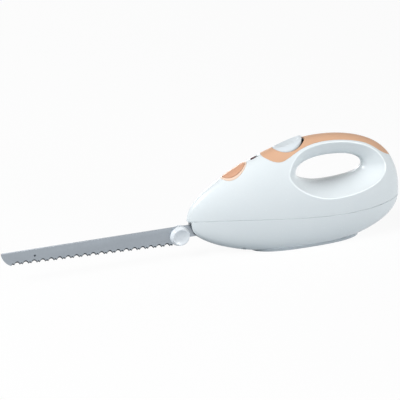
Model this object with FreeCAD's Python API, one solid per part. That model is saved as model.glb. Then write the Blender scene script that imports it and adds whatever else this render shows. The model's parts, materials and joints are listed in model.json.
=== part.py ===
"""Electric carving knife: an egg-shaped handle with a finger opening, a motor and worm drive inside,
and a pair of toothed blades that slide against each other.

X runs along the knife with the blades towards -X, +Z is up, and the origin is the middle of the
foot's underside.  All lengths are millimetres.
"""
import FreeCAD, Part
import math
import os
from FreeCAD import Vector

# Handle body: an egg whose height, width and depth follow one law along its length
nose_reach = 129.0
tail_reach = 108.5
belt_height = 39.8
seam_sag = 6.0
seam_shares = ((-0.03, 0), (0.29, 0.1), (0.65, 1.0), (1.03, 0.15))
crown_rise = 73.3
half_width = 27.0
belly_depth = 45.6
wall = 2.6
seam_groove_width = 0.5
seam_groove_depth = 0.8
foot_thickness = 2.5
crown_shares = (-0.31, 0.04, -0.02, 0.02)
width_shares = (-0.25, -0.03)
belly_shares = (-0.06,)
crown_weight_share = math.sqrt(0.5)
belly_weight_share = 1.42
section_count = 17
end_turn = math.radians(3)

# Finger opening through the handle, narrowest in the middle plane
grip_front_inset = 118.1
grip_rear_inset = 44.1
rim_radius = 2.0
grip_height = 75.8
grip_opening = 30.4
grip_tilt = 1.1
flare_reach = 20.0
front_flare = 13.5
rear_flare = 46.5
top_flare = 45.0
bottom_flare = 11.8
flare_lift = 7.8
grip_weight_shares = (0.86, 0.80, 0.54, 0.57)

# Fits
slip = 0.1
running = 0.05
free_gap = 0.3
overrun = 5.0

# Soft grip cover on the crown
cover_front_x = -49.0
cover_rear_inset = 11.5
cover_half_width = 14.6
cover_thickness = 1.4
cover_shares = ((0, 0), (0.027, 0.62), (0.066, 0.86), (0.125, 1.0), (0.21, 0.91), (0.31, 0.745),
                (0.455, 0.64), (0.645, 0.62), (0.80, 0.61), (0.92, 0.60), (1.0, 0))

# Foot under the handle
foot_length = 123.0
foot_width = 45.0
foot_power = 2.6
foot_points = 40
foot_screw_front_x = -14.0
foot_screw_rear_x = 46.0
foot_screw_y = 13.0
vent_count = 6
vent_width = 2.4
vent_length = 16.0
vent_pitch = 6.0
vent_front_x = -19.0

# Screws and their bosses
screw_radius = 1.5
screw_head_radius = 2.9
screw_head_height = 2.0
boss_radius = 3.6
case_front_inset = 57.0
case_front_y = 11.3
case_rear_inset = 28.5
case_rear_y = 12.0
case_boss_height = 16.0
case_screw_grip = 11.0
case_head_depth = 4.0
boss_rib = 2.0
foot_boss_height = 7.0

# Trigger on the crown, a rocker with its pivot at the front
trigger_x = -20.0
trigger_length = 30.6
trigger_width = 21.2
trigger_gap = 0.5
trigger_rear_room = 2.4
trigger_proud = 2.6
trigger_pivot_x = -31.5
trigger_pivot_depth = 13.84
trigger_floor_depth = 10.35
trigger_wall = 2.4
trigger_dish_depth = 1.8
trigger_rim = 2.2
pivot_pin_radius = 1.2
pivot_lug_inner = 9.5
pivot_lug_thickness = 1.6
pivot_lug_half = 2.6

# Switch under the trigger
switch_front_x = -29.0
switch_rear_x = -17.0
switch_half_width = 7.0
switch_height = 12.5
switch_headroom = 11.0
switch_shelf = 2.0
plunger_x = -20.5
plunger_radius = 2.0
plunger_rise = 3.0
plunger_socket = 3.0
trigger_post_radius = 2.0
trigger_spring_x = -25.7
trigger_spring_outer = 2.4
trigger_spring_inner = 1.8

# Release button on the front slope
button_x = -78.5
button_length = 27.2
button_width = 18.2
bezel_width = 1.7
bezel_depth = 4.5
button_depth = 8.5
button_proud = 0.7
button_gap = 0.35
stem_radius = 3.0
button_shelf_depth = 24.52
button_shelf = 2.2
button_shelf_half = 9.0
button_spring_outer = 4.6
button_spring_inner = 3.6

# Release lever under the button stem
lever_pivot_x = -64.0
lever_lift = 5.0
stem_lift = 5.5
lever_half_width = 7.2
lever_thickness = 3.0
lever_reach = 26.0
lever_prong = 3.0
lever_prong_depth = 5.0
lever_pin_radius = 1.5
lever_eye = 3.2

# Safety catch between button and trigger
catch_x = -57.0
catch_length = 5.6
catch_width = 2.8
catch_height = 6.8
catch_proud = 0.3
catch_travel = 1.8
catch_slope = 22.0
catch_flange = 1.8
catch_flange_thickness = 1.2

# Blades, each a flat strip with a scalloped edge
blade_thickness = 0.9
blade_split = 0.2
blade_tip_x = -323.0
spine_height = 35.4
edge_front_x = -313.4
edge_front_height = 21.5
edge_heel_x = -139.6
edge_heel_height = 15.2
tip_bow = 1.6
tooth_count = 20
tooth_depth = 2.4
tooth_land_share = 0.42
tooth_nick_share = 0.22
tang_bottom_height = 22.6
tang_rear_x = -90.0
tang_step_x = -106.0
tang_top_height = 32.6
fork_height = 27.6
fork_half = 2.4
fork_depth = 7.0
stud_x = -289.0
stud_height = 28.7
stud_radius = 1.1
stud_slot_play = 1.0

# Thumb discs moulded on the blades
disc_x = -137.0
disc_height = 25.5
disc_radius = 10.4
disc_thickness = 5.2
disc_side = 1.4
disc_bevel = 1.7
disc_rim = 1.0
disc_dish = 1.3
disc_flat = 1.0

# Blade guide in the nose
guide_front_inset = 7.4
guide_rear_inset = 21.0
guide_half_width = 4.5
guide_bottom_height = 18.6
guide_head_room = 0.6
guide_slit = 1.35
guide_slit_bottom = 21.6
guide_slit_top = 36.8

# Drive: worm, wheel and eccentrics
motor_height = 37.0
worm_radius = 3.5
wheel_radius = 11.0
wheel_teeth = 22
tooth_rise = 0.7
tooth_drop = 1.0
wheel_half_width = 3.0
wheel_tooth_share = 0.36
worm_thread_share = 0.34
wheel_x = -40.0
worm_turns = 5
axle_radius = 2.5
eccentric_radius = 6.5
eccentric_throw = 3.0
eccentric_thickness = 3.8

# Sliders that the eccentrics push
slider_gap = 0.4
slider_thickness = 2.8
yoke_frame = 3.4
yoke_play = 0.85
yoke_reach = 0.6
arm_bottom_height = 21.6
arm_top_height = 32.0
arm_front_x = -103.0
arm_jog_x = -88.0
peg_radius = 2.1
latch_spring_thickness = 0.5
latch_spring_length = 14.0

# Sleeve bearing block for the slider arms
block_front_x = -85.0
block_rear_x = -76.0
block_half_width = 10.0
block_top_height = 36.0

# Gear frame
cheek_inner = 9.2
cheek_thickness = 2.6
frame_front_x = -59.0
frame_rear_x = -22.0
frame_rise = 7.0
frame_bridge = 4.0
frame_bridge_drop = 5.0
frame_tab_half = 4.0
frame_flange_thickness = 2.0
frame_flange_height = 9.0
frame_screw_inset = 6.5
frame_screw_reach = 3.0
frame_boss_radius = 2.8
bearing_wall = 2.4

# Motor
shaft_radius = 2.4
shaft_front_x = -60.5
shaft_rear_x = 63.0
fan_x = -13.0
fan_length = 6.0
fan_radius = 15.0
fan_hub_radius = 5.0
fan_blades = 8
fan_plate = 1.2
stator_front_x = 2.0
stator_length = 30.0
stator_height = 34.0
stator_width = 44.0
stator_corner = 7.0
stator_bore = 12.6
armature_radius = 12.0
armature_slots = 12
slot_width = 2.2
slot_depth = 4.0
winding_gap = 0.2
winding_overhang = 5.0
coil_inner = 13.6
coil_thickness = 4.2
coil_half_height = 9.2
pole_half_height = 5.0
coil_overhang = 5.0
commutator_x = 40.0
commutator_length = 9.0
commutator_radius = 7.0
commutator_bars = 12
bar_slit = 0.6
brush_x = 41.6
brush_length = 5.6
brush_half_height = 3.0
brush_depth = 8.0
brush_case = 1.0
brush_case_reach = 14.0
bracket_x = 54.0
bracket_thickness = 3.0
bracket_half_width = 20.0
bracket_drop = 20.0
bracket_rise = 10.0
cradle_thickness = 2.4
motor_screw_y = 16.5
motor_screw_z = 11.5
motor_screw_radius = 1.4

# Rear of the handle: leads in
gland_height = 30.6
gland_radius = 6.0
gland_bore = 3.4
gland_collar = 1.4
gland_collar_length = 2.2
gland_inset = 16.5
capacitor_x = 38.5
capacitor_y = -4.6
capacitor_radius = 4.2
capacitor_length = 14.0
terminal_front_x = 38.5
terminal_length = 14.0
terminal_inner_y = 0.6
terminal_width = 8.4
terminal_height = 11.0
terminal_holes = 3
terminal_hole_radius = 1.3
clamp_length = 7.0
clamp_half_width = 7.5
clamp_inset = 24.0

# Derived places
near, far = -1, 1
sides = (("left", near), ("right", far))
nose_x = -nose_reach
tail_x = tail_reach
body_length = nose_reach + tail_reach
grip_front_x = nose_x + grip_front_inset
grip_rear_x = tail_x - grip_rear_inset
grip_x = (grip_front_x + grip_rear_x) / 2
grip_length = grip_rear_x - grip_front_x
cover_rear_x = tail_x - cover_rear_inset
case_screw_places = ((nose_x + case_front_inset, case_front_y), (tail_x - case_rear_inset, case_rear_y))
guide_front_x = nose_x + guide_front_inset
guide_rear_x = nose_x + guide_rear_inset
gland_rear_x = tail_x - gland_inset
clamp_x = tail_x - clamp_inset
floor_height = foot_thickness + wall
wheel_height = motor_height - worm_radius - wheel_radius
wheel_pitch = 2 * math.pi * wheel_radius / wheel_teeth
frame_top_height = motor_height + frame_rise
lever_pivot_height = frame_top_height + lever_lift
stem_foot_height = lever_pivot_height + stem_lift
high = belt_height + crown_rise + overrun
wide = half_width + overrun
pieces = {}
eggs = {}


def box(x0, x1, y0, y1, z0, z1):
    return Part.makeBox(x1 - x0, y1 - y0, z1 - z0, Vector(x0, y0, z0))


def rod_x(radius, x0, x1, y, z):
    return Part.makeCylinder(radius, x1 - x0, Vector(x0, y, z), Vector(1, 0, 0))


def rod_y(radius, y0, y1, x, z):
    return Part.makeCylinder(radius, y1 - y0, Vector(x, y0, z), Vector(0, 1, 0))


def rod_z(radius, z0, z1, x, y):
    return Part.makeCylinder(radius, z1 - z0, Vector(x, y, z0), Vector(0, 0, 1))


def across(side, inner, outer):
    """The two Y limits of a slab between two distances from the middle plane, on one side."""
    return sorted((side * inner, side * outer))


def closed_curve(points):
    count = len(points)
    curve = Part.BSplineCurve()
    curve.interpolate(Points=points, PeriodicFlag=True, Parameters=[k / count for k in range(count + 1)])
    return Part.Wire(curve.toShape())


def prism(wire, z0, z1):
    wire.translate(Vector(0, 0, z0))
    return Part.Face(wire).extrude(Vector(0, 0, z1 - z0))


def oval_prism(x, length, width, z0, z1):
    oval = Part.Ellipse(Vector(x, 0, 0), length / 2, width / 2)
    return prism(Part.Wire(oval.toShape()), z0, z1)


def swell(turn, size, shares):
    """The egg law: a half sine along the length, leaned and flattened by its shares."""
    lean = sum(share * math.cos((k + 1) * turn) for k, share in enumerate(shares))
    return size * math.sin(turn) * (1 + lean)


def crown_height(x):
    """Height of the handle's ridge at a place along it."""
    turn = math.acos(1 - 2 * (x - nose_x) / body_length)
    return belt_height + swell(turn, crown_rise, crown_shares)


# Heights that hang from the crown
trigger_pivot_height = crown_height(trigger_pivot_x) - trigger_pivot_depth
trigger_floor_height = crown_height(trigger_x) - trigger_floor_depth
switch_top_height = trigger_floor_height - switch_headroom
switch_bottom_height = switch_top_height - switch_height
button_shelf_height = crown_height(button_x) - button_shelf_depth


def rounded(value, power):
    return math.copysign(abs(value) ** (2 / power), value)


def conic(start, corner, end, weight):
    """A quarter turn from one point to another that leaves and arrives along the corner's sides."""
    curve = Part.BSplineCurve()
    curve.buildFromPolesMultsKnots([start, corner, end], [3, 3], [0, 1], False, 2, [1, weight, 1])
    return curve.toShape()


def quarter_loop(middle, tips, weights):
    """A closed outline of four quarter turns through four tips round a middle."""
    edges = []
    for k, weight in enumerate(weights):
        start, end = tips[k], tips[(k + 1) % len(tips)]
        edges.append(conic(middle + start, middle + start + end, middle + end, weight))
    return Part.Wire(edges)


def body_section(turn, inset):
    x = nose_x + inset + (body_length - 2 * inset) * (1 - math.cos(turn)) / 2
    half = swell(turn, half_width - inset, width_shares)
    rise = swell(turn, crown_rise - inset, crown_shares)
    depth = swell(turn, belly_depth - inset, belly_shares)
    tips = [Vector(0, half, 0), Vector(0, 0, rise), Vector(0, -half, 0), Vector(0, 0, -depth)]
    weights = [crown_weight_share, crown_weight_share, belly_weight_share, belly_weight_share]
    return quarter_loop(Vector(x, 0, belt_height), tips, weights)


def egg(inset):
    """The handle's outer form, or a form that lies the inset inside it."""
    if inset not in eggs:
        step = (math.pi - 2 * end_turn) / (section_count - 1)
        turns = [end_turn + step * k for k in range(section_count)]
        eggs[inset] = Part.makeLoft([body_section(turn, inset) for turn in turns], True)
    return eggs[inset].copy()


def grip_axes():
    """The directions along and across the finger opening, in the middle plane."""
    lean = math.radians(grip_tilt)
    return Vector(math.cos(lean), 0, -math.sin(lean)), Vector(math.sin(lean), 0, math.cos(lean))


def grip_middle(y, spread):
    """The middle of the finger opening at a depth, lifted as it flares."""
    along, up = grip_axes()
    return Vector(grip_x, y, grip_height) + up * (flare_lift * spread)


def grip_tips(spread, growth):
    """The rear, top, front and bottom of the finger opening where it has flared by a share."""
    along, up = grip_axes()
    half_length, half_opening = grip_length / 2 + growth, grip_opening / 2 + growth
    return [along * (half_length + rear_flare * spread), up * (half_opening + top_flare * spread),
            along * -(half_length + front_flare * spread), up * -(half_opening + bottom_flare * spread)]


def grip_tunnel(growth):
    """The space of the finger opening, grown evenly by a wall.

    It flares with the square of the distance from the middle plane, so each quarter is one patch
    whose middle row of poles lies as far inside the waist as the end rows lie outside it.
    """
    end_spread = (wide / flare_reach) ** 2
    rows = [(-wide, end_spread), (0, -end_spread), (wide, end_spread)]
    faces = []
    for k, weight in enumerate(grip_weight_shares):
        poles = [[], [], []]
        for y, spread in rows:
            middle = grip_middle(y, spread)
            tips = grip_tips(spread, growth)
            start, end = tips[k], tips[(k + 1) % len(tips)]
            for line, pole in zip(poles, (start, start + end, end)):
                line.append(middle + pole)
        patch = Part.BSplineSurface()
        patch.buildFromPolesMultsKnots(poles, [3, 3], [3, 3], [0, 1], [0, 1], False, False, 2, 2,
                                       [[1, 1, 1], [weight, weight, weight], [1, 1, 1]])
        faces.append(patch.toShape())
    for y in (-wide, wide):
        middle = grip_middle(y, end_spread)
        faces.append(Part.Face(quarter_loop(middle, grip_tips(end_spread, growth), grip_weight_shares)))
    shell = Part.makeShell(faces)
    shell.sewShape()
    tunnel = Part.makeSolid(shell)
    return tunnel if tunnel.Volume > 0 else tunnel.reversed()


def beside_seam(level, shift=0):
    """The space between the curved seam of the two housings, shifted up or down, and a level."""
    points = [Vector(nose_x + share * body_length, -wide, belt_height - drop * seam_sag + shift)
              for share, drop in seam_shares]
    seam = Part.BSplineCurve()
    seam.interpolate(points)
    corners = [points[-1], Vector(points[-1].x, -wide, level), Vector(points[0].x, -wide, level), points[0]]
    edges = [seam.toShape()] + [Part.LineSegment(a, b).toShape() for a, b in zip(corners, corners[1:])]
    return Part.Face(Part.Wire(edges)).extrude(Vector(0, 2 * wide, 0))


def rounded_rim(solid):
    """The handle with the edge round each end of the finger opening rounded over to a lip."""
    rim = []
    for edge in solid.Edges:
        middle = Part.Vertex(edge.valueAt((edge.FirstParameter + edge.LastParameter) / 2))
        if all(middle.distToShape(form.Shells[0])[0] < slip for form in (outer, tunnel)):
            rim.append(edge)
    return solid.makeFillet(rim_radius, rim)


outer = egg(0)
inner = egg(wall)
tunnel = grip_tunnel(0)
above_seam = beside_seam(high)
below_seam = beside_seam(foot_thickness)
above_floor = box(nose_x - overrun, tail_x + overrun, -wide, wide, floor_height, high)
body = rounded_rim(outer.cut(tunnel))
hollow = inner.cut(grip_tunnel(wall)).common(above_floor)


def seam_groove():
    """The shadow line that runs round the handle where the two housings meet."""
    band = beside_seam(high, -seam_groove_width / 2).cut(beside_seam(high, seam_groove_width / 2))
    return crown_slab(seam_groove_depth).common(band)


def within_wall(shape, gap):
    """The part of a shape that lies inside the handle, a gap off its inner wall."""
    room = box(nose_x, tail_x, -wide, wide, floor_height + gap, high)
    return shape.common(egg(wall + gap)).common(room)


def crown_slab(depth):
    """The skin of the handle down to a depth under its surface."""
    return body.cut(egg(depth))


def cover_plan(growth):
    length = cover_rear_x - cover_front_x + 2 * growth
    half = cover_half_width + growth
    edge = [(cover_front_x - growth + share * length, half * rise) for share, rise in cover_shares]
    points = [Vector(x, y, 0) for x, y in edge]
    points += [Vector(x, -y, 0) for x, y in reversed(edge[1:-1])]
    return prism(closed_curve(points), belt_height, high)


trigger_opening = oval_prism(trigger_x + trigger_rear_room / 2,
                             trigger_length + trigger_rear_room + 2 * trigger_gap,
                             trigger_width + 2 * trigger_gap, trigger_floor_height - overrun, high)
bezel_opening = oval_prism(button_x, button_length, button_width, belt_height, high)
slope = Vector(math.cos(math.radians(catch_slope)), 0, math.sin(math.radians(catch_slope)))


def on_slope(half_length, half_across, low, top, shift):
    """A block lying along the ridge at the safety catch, its heights measured off the surface."""
    block = box(-half_length + shift, half_length + shift, -half_across, half_across, low, top)
    block.rotate(Vector(0, 0, 0), Vector(0, 1, 0), -catch_slope)
    block.translate(Vector(catch_x, 0, crown_height(catch_x)))
    return block


def case_places():
    return [(x, side * y) for x, y in case_screw_places for _, side in sides]


def foot_places():
    return [(x, side * foot_screw_y) for x in (foot_screw_front_x, foot_screw_rear_x) for _, side in sides]


def make_upper_housing():
    shell = body.common(above_seam).cut(hollow)
    extras = []
    for x, y in case_places():
        extras.append(rod_z(boss_radius, belt_height - seam_sag, belt_height + case_boss_height, x, y))
        rib = across(math.copysign(1, y), abs(y), wide)
        extras.append(box(x - boss_rib / 2, x + boss_rib / 2, *rib, belt_height - seam_sag,
                          belt_height + case_boss_height))
    for _, side in sides:
        lug = across(side, pivot_lug_inner, pivot_lug_inner + pivot_lug_thickness)
        extras.append(box(trigger_pivot_x - pivot_lug_half, trigger_pivot_x + pivot_lug_half, *lug,
                          trigger_pivot_height - pivot_lug_half, high))
    extras.append(box(switch_front_x - slip, switch_rear_x + slip, -wide, wide,
                      switch_bottom_height - switch_shelf, switch_bottom_height))
    extras.append(box(button_x - button_shelf_half, button_x + button_shelf_half, -wide, wide,
                      button_shelf_height, button_shelf_height + button_shelf))
    shell = shell.fuse([extra.common(body).common(above_seam) for extra in extras])
    cuts = [crown_slab(cover_thickness + slip).common(cover_plan(slip)), trigger_opening, bezel_opening]
    cuts.append(seam_groove())
    cuts.append(rod_z(stem_radius + free_gap, belt_height, high, button_x, 0))
    pin_end = pivot_lug_inner + pivot_lug_thickness
    cuts.append(rod_y(pivot_pin_radius, -pin_end, pin_end, trigger_pivot_x, trigger_pivot_height))
    slot_half = (catch_length + catch_travel) / 2 + free_gap
    cuts.append(on_slope(slot_half, catch_width / 2 + free_gap, -catch_height, overrun, catch_travel / 2))
    for x, y in case_places():
        cuts.append(rod_z(screw_radius, belt_height - seam_sag, belt_height + case_screw_grip, x, y))
    return shell.cut(cuts)


def make_lower_housing():
    shell = body.common(below_seam).cut(hollow)
    extras = [rod_z(boss_radius, foot_thickness, belt_height, x, y) for x, y in case_places()]
    for x, y in foot_places():
        extras.append(rod_z(boss_radius, foot_thickness, floor_height + foot_boss_height, x, y))
    for x, y in frame_screw_places():
        extras.append(rod_z(frame_boss_radius, foot_thickness, frame_flange_height, x, y))
    for x in (stator_front_x + cradle_thickness, stator_front_x + stator_length - 2 * cradle_thickness):
        extras.append(box(x, x + cradle_thickness, -wide, wide, foot_thickness, motor_height))
    shell = shell.fuse([extra.common(body).common(below_seam) for extra in extras])
    cuts = [stator_block(slip), seam_groove()]
    cuts.append(box(nose_x - overrun, guide_rear_x + slip, -guide_half_width - slip, guide_half_width + slip,
                    guide_bottom_height - slip, belt_height))
    cuts.append(rod_x(gland_radius, gland_rear_x, tail_x + overrun, 0, gland_height))
    cuts.append(vents())
    for x, y in case_places():
        cuts.append(rod_z(screw_radius + slip, foot_thickness, belt_height, x, y))
        cuts.append(rod_z(screw_head_radius + slip, 0, case_head_height(x) + screw_head_height, x, y))
    for x, y in foot_places():
        cuts.append(rod_z(screw_radius, foot_thickness, floor_height + foot_boss_height, x, y))
    for x, y in frame_screw_places():
        cuts.append(rod_z(screw_radius, floor_height, frame_flange_height, x, y))
        cuts.append(rod_z(screw_head_radius + slip, frame_flange_height, motor_height, x, y))
    return shell.cut(cuts)


def case_head_height(x):
    """Underside of a case screw's head, sunk into the belly under its boss."""
    turn = math.acos(1 - 2 * (x - nose_x) / body_length)
    belly = belt_height - swell(turn, belly_depth, belly_shares)
    return max(belly, foot_thickness) + case_head_depth


def vents():
    slots = []
    for k in range(vent_count):
        x = vent_front_x + k * vent_pitch
        slots.append(box(x, x + vent_width, -vent_length / 2, vent_length / 2, 0, floor_height))
    return Part.makeCompound(slots)


def make_base_foot():
    points = []
    for k in range(foot_points):
        angle = 2 * math.pi * k / foot_points
        x = foot_length / 2 * rounded(math.cos(angle), foot_power)
        y = foot_width / 2 * rounded(math.sin(angle), foot_power)
        points.append(Vector(x, y, 0))
    cuts = [vents()]
    for x, y in foot_places():
        cuts.append(rod_z(screw_radius + slip, 0, foot_thickness, x, y))
        cuts.append(rod_z(screw_head_radius + slip, 0, screw_head_height, x, y))
    return prism(closed_curve(points), 0, foot_thickness).cut(cuts)


def screw(x, y, head_bottom, length):
    head = rod_z(screw_head_radius, head_bottom, head_bottom + screw_head_height - slip, x, y)
    drive = box(x - screw_head_radius, x + screw_head_radius, y - slip, y + slip, head_bottom,
                head_bottom + slip)
    return head.fuse(rod_z(screw_radius, head_bottom, head_bottom + length, x, y)).cut(drive)


def make_case_screws():
    tops = belt_height + case_screw_grip - slip
    return Part.makeCompound([screw(x, y, case_head_height(x), tops - case_head_height(x))
                              for x, y in case_places()])


def make_foot_screws():
    length = floor_height + foot_boss_height - slip
    return Part.makeCompound([screw(x, y, slip, length - slip) for x, y in foot_places()])


def make_grip_cover():
    return crown_slab(cover_thickness).common(cover_plan(0)).cut(trigger_opening)


def make_trigger():
    pivot = Vector(trigger_pivot_x, 0, trigger_pivot_height)
    lift = -math.degrees(trigger_proud / trigger_length)
    reach_low = trigger_pivot_height - pivot_lug_half
    plan = oval_prism(trigger_x, trigger_length, trigger_width, reach_low, high)
    front_room = box(trigger_x - trigger_length, trigger_pivot_x + pivot_lug_half, -wide, wide, reach_low,
                     high)
    rear_room = box(trigger_x - trigger_length, trigger_x + trigger_length, -wide, wide,
                    trigger_floor_height, high)
    top = outer.copy()
    top.rotate(pivot, Vector(0, 1, 0), lift)
    under = egg(trigger_wall)
    under.rotate(pivot, Vector(0, 1, 0), lift)
    block = plan.common(front_room.fuse(rear_room)).common(top)
    pocket = oval_prism(trigger_x, trigger_length - 2 * trigger_wall, trigger_width - 2 * trigger_wall,
                        reach_low, high)
    pocket = pocket.common(under).cut(front_room)
    post_low = switch_top_height + plunger_rise + free_gap
    post = rod_z(trigger_post_radius, post_low, high, plunger_x, 0).common(top).common(
        box(nose_x, tail_x, -wide, wide, 0, trigger_floor_height + 2 * trigger_wall).fuse(under))
    dish = scoop(trigger_x, trigger_length - 2 * trigger_rim, trigger_width - 2 * trigger_rim,
                 trigger_dish_depth,
                 crown_height(trigger_x) + trigger_proud * (trigger_x - trigger_pivot_x) / trigger_length)
    bore = rod_y(pivot_pin_radius + running, -wide, wide, trigger_pivot_x, trigger_pivot_height)
    return block.cut(pocket).fuse(post).cut([dish, bore]).removeSplitter()


def scoop(x, length, width, depth, height):
    """A shallow oval bowl, hollowed from above and leaned to the crown's slope there."""
    ball = Part.makeSphere(1, Vector(0, 0, 0), Vector(0, 1, 0))
    matrix = FreeCAD.Matrix()
    lean = math.atan2(crown_height(x + length / 2) - crown_height(x - length / 2) + trigger_proud, length)
    matrix.scale(length / 2, width / 2, depth)
    bowl = ball.transformGeometry(matrix)
    bowl.rotate(Vector(0, 0, 0), Vector(0, 1, 0), -math.degrees(lean))
    bowl.translate(Vector(x, 0, height))
    return bowl


def make_release_button():
    length = button_length - 2 * bezel_width - 2 * button_gap
    width = button_width - 2 * bezel_width - 2 * button_gap
    top = outer.copy()
    top.translate(Vector(0, 0, button_proud))
    cap = oval_prism(button_x, length, width, belt_height, high).common(top).cut(egg(button_depth))
    stem = rod_z(stem_radius, stem_foot_height, high, button_x, 0).common(egg(button_depth / 2))
    return cap.fuse(stem)


def make_button_bezel():
    ring = oval_prism(button_x, button_length - 2 * slip, button_width - 2 * slip, belt_height, high)
    hole = oval_prism(button_x, button_length - 2 * bezel_width, button_width - 2 * bezel_width,
                      belt_height, high)
    top = outer.copy()
    top.translate(Vector(0, 0, button_proud / 2))
    return ring.cut(hole).common(top).cut(egg(bezel_depth))


def make_button_spring():
    low = button_shelf_height + button_shelf
    under = egg(button_depth + free_gap)
    tube = rod_z(button_spring_outer, low, high, button_x, 0)
    return tube.cut(rod_z(button_spring_inner, low, high, button_x, 0)).common(under)


def make_release_lever():
    front_x = lever_pivot_x - lever_reach
    top = stem_foot_height - free_gap
    low = top - lever_thickness
    plate = box(front_x, lever_pivot_x, -lever_half_width, lever_half_width, low, top)
    prongs = []
    for _, side in sides:
        prong = across(side, lever_half_width - lever_prong, lever_half_width)
        prongs.append(box(front_x, front_x + lever_prong, *prong, low - lever_prong_depth, top))
    eye = rod_y(lever_eye, -lever_half_width, lever_half_width, lever_pivot_x, lever_pivot_height)
    web = box(lever_pivot_x - lever_eye, lever_pivot_x, -lever_half_width, lever_half_width,
              lever_pivot_height, top)
    lever = plate.fuse(prongs + [eye, web])
    return lever.cut(rod_y(lever_pin_radius + running, -wide, wide, lever_pivot_x, lever_pivot_height))


def make_safety_catch():
    half = catch_length / 2
    top = outer.copy()
    top.translate(Vector(0, 0, catch_proud))
    knob = on_slope(half, catch_width / 2, -catch_height, overrun, 0).common(top)
    flange = on_slope(half + catch_flange, catch_width / 2 + catch_flange,
                      -catch_height - catch_flange_thickness, -catch_height, 0)
    return knob.fuse(flange)


def blade_outline():
    """The blade's outline in its own plane, from the tip along the scalloped edge to the tang."""
    def edge_point(x, rise):
        along = (x - edge_front_x) / (edge_heel_x - edge_front_x)
        return Vector(x, 0, edge_front_height + along * (edge_heel_height - edge_front_height) + rise)

    tip = Vector(blade_tip_x, 0, spine_height)
    front = edge_point(edge_front_x, 0)
    bow = (tip + front) / 2 + Vector(-tip_bow, 0, -tip_bow)
    edges = [Part.Arc(tip, bow, front).toShape()]
    pitch = (edge_heel_x - edge_front_x) / tooth_count
    land = pitch * tooth_land_share
    nick = land * tooth_nick_share
    for k in range(tooth_count):
        x = edge_front_x + k * pitch
        corners = [edge_point(x, 0), edge_point(x + land / 2, nick), edge_point(x + land, 0)]
        edges += [Part.LineSegment(a, b).toShape() for a, b in zip(corners, corners[1:])]
        crest = edge_point(x + (land + pitch) / 2, tooth_depth)
        edges.append(Part.Arc(corners[-1], crest, edge_point(x + pitch, 0)).toShape())
    heel = edge_point(edge_heel_x, 0)
    fork_x = tang_rear_x - fork_depth
    corners = [heel, Vector(edge_heel_x, 0, tang_bottom_height), Vector(tang_rear_x, 0, tang_bottom_height),
               Vector(tang_rear_x, 0, fork_height - fork_half), Vector(fork_x, 0, fork_height - fork_half)]
    edges += [Part.LineSegment(a, b).toShape() for a, b in zip(corners, corners[1:])]
    fork_top = Vector(fork_x, 0, fork_height + fork_half)
    edges.append(Part.Arc(corners[-1], Vector(fork_x - fork_half, 0, fork_height), fork_top).toShape())
    corners = [fork_top, Vector(tang_rear_x, 0, fork_height + fork_half),
               Vector(tang_rear_x, 0, tang_top_height), Vector(tang_step_x, 0, tang_top_height),
               Vector(tang_step_x, 0, spine_height), tip]
    edges += [Part.LineSegment(a, b).toShape() for a, b in zip(corners, corners[1:])]
    return Part.Wire(edges)


def make_blade(side):
    inner_face, outer_face = blade_split / 2, blade_split / 2 + blade_thickness
    plate = Part.Face(blade_outline()).extrude(Vector(0, side * blade_thickness, 0))
    plate.translate(Vector(0, side * inner_face, 0))
    limits = across(side, 0, outer_face + overrun)
    hole = rod_y(stud_radius, *limits, stud_x, stud_height)
    if side == far:
        play = 2 * eccentric_throw + stud_slot_play
        holes = [rod_y(stud_radius + free_gap, *limits, stud_x + shift, stud_height)
                 for shift in (-play, play)]
        bar = box(stud_x - play, stud_x + play, *limits, stud_height - stud_radius - free_gap,
                  stud_height + stud_radius + free_gap)
        hole = bar.fuse(holes)
    return plate.cut(hole)


def make_blade_stud():
    reach = blade_split / 2 + blade_thickness
    return rod_y(stud_radius, -reach, reach, stud_x, stud_height)


def make_blade_grip(side):
    base = side * (blade_split / 2 + blade_thickness)
    top = base + side * disc_thickness
    shoulder = base + side * disc_side
    inner_rim = disc_radius - disc_bevel - disc_rim
    bottom = top - side * disc_dish
    corners = [Vector(0, base, 0), Vector(disc_radius, base, 0), Vector(disc_radius, shoulder, 0),
               Vector(disc_radius - disc_bevel, top, 0), Vector(inner_rim, top, 0)]
    edges = [Part.LineSegment(a, b).toShape() for a, b in zip(corners, corners[1:])]
    bowl_width = inner_rim - disc_flat
    bowl_radius = (bowl_width ** 2 + disc_dish ** 2) / (2 * disc_dish)
    half_turn = math.asin(bowl_width / bowl_radius) / 2
    bowl = Vector(disc_flat + bowl_radius * math.sin(half_turn),
                  bottom + side * bowl_radius * (1 - math.cos(half_turn)), 0)
    bowl_end = Vector(disc_flat, bottom, 0)
    edges.append(Part.Arc(corners[-1], bowl, bowl_end).toShape())
    corners = [bowl_end, Vector(0, bottom, 0), corners[0]]
    edges += [Part.LineSegment(a, b).toShape() for a, b in zip(corners, corners[1:])]
    disc = Part.Face(Part.Wire(edges)).revolve(Vector(0, 0, 0), Vector(0, 1, 0), 360)
    disc.translate(Vector(disc_x, 0, disc_height))
    return disc


def make_nose_guide():
    block = box(guide_front_x, guide_rear_x, -guide_half_width, guide_half_width, guide_bottom_height,
                belt_height - guide_head_room)
    slit = box(guide_front_x, guide_rear_x, -guide_slit, guide_slit, guide_slit_bottom, guide_slit_top)
    return block.common(egg(slip)).cut(slit)


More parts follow.
